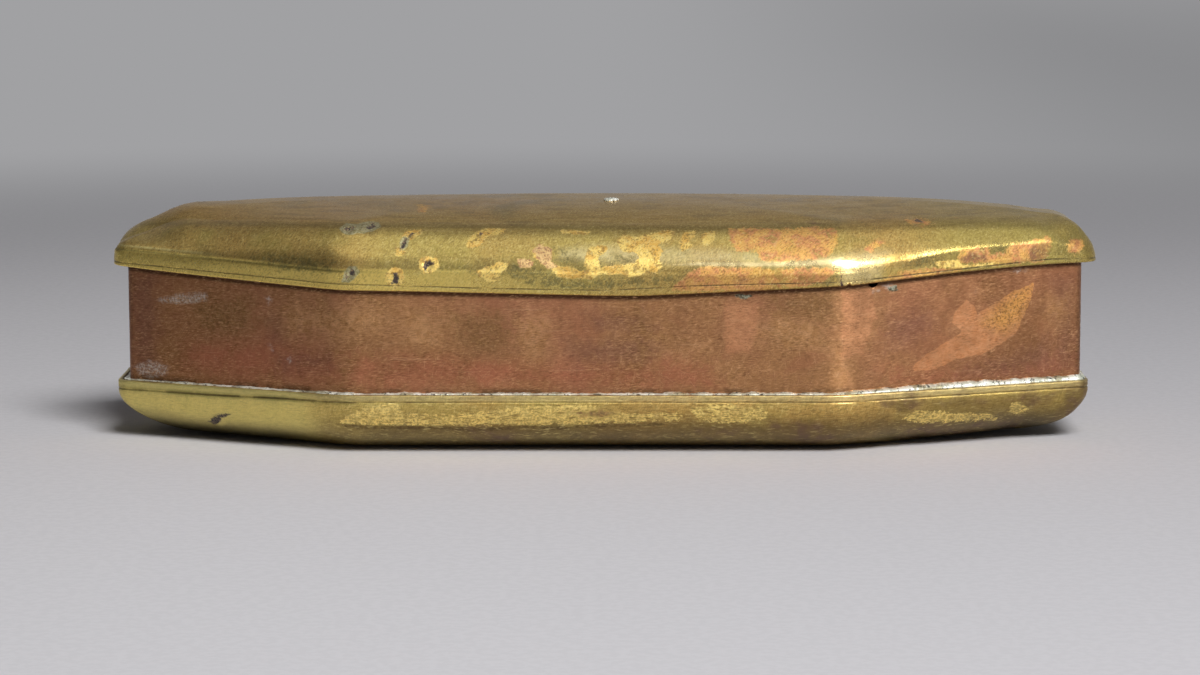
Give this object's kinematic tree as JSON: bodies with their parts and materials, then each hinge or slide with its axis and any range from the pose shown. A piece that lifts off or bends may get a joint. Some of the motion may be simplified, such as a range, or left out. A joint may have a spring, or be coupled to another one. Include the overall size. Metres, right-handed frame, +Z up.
{
  "type": "hinged tobacco box",
  "caption": "Long eight-sided lidded metal box with a domed hinged lid, straight side band and dished base, for tobacco, papers or keepsakes.",
  "frame": {"origin": "on the floor plane under the middle of the box, at the centre of the flat the base stands on", "axes": "+X to the right along the length, the front at -Y, the hinge at +Y, +Z up"},
  "size_m": [0.1606, 0.055, 0.0395],
  "materials": {
    "base_brass": "worn brass with dull olive patina",
    "wall_copper": null,
    "seam_solder": null,
    "bead_solder": null,
    "lid_brass": "worn brass with dull olive patina, copper-coloured wear and dark pits",
    "plug_solder": null,
    "body_strip_brass": "dull brass",
    "lid_strip_brass": "dull brass",
    "knuckle_brass": "rubbed brass tube",
    "pin_brass": "peened brass wire"
  },
  "bodies": {
    "box_body": {"base_dish": "base_brass", "side_wall": "wall_copper", "wall_seam_solder": "seam_solder", "base_solder": "bead_solder", "body_hinge_strip": "body_strip_brass", "body_knuckle_1": "knuckle_brass", "body_knuckle_2": "knuckle_brass", "body_knuckle_3": "knuckle_brass", "hinge_pin": "pin_brass"},
    "lid": {"lid_shell": "lid_brass", "lid_solder_plug": "plug_solder", "lid_hinge_strip": "lid_strip_brass", "lid_knuckle_1": "knuckle_brass", "lid_knuckle_2": "knuckle_brass"}
  },
  "joints": [
    {"name": "lid_hinge", "type": "hinge", "parent": "box_body", "child": "lid", "pos_m": [0, 0.02645, 0.0256], "axis": [-1, 0, 0], "range_deg": [0, 105]}
  ]
}
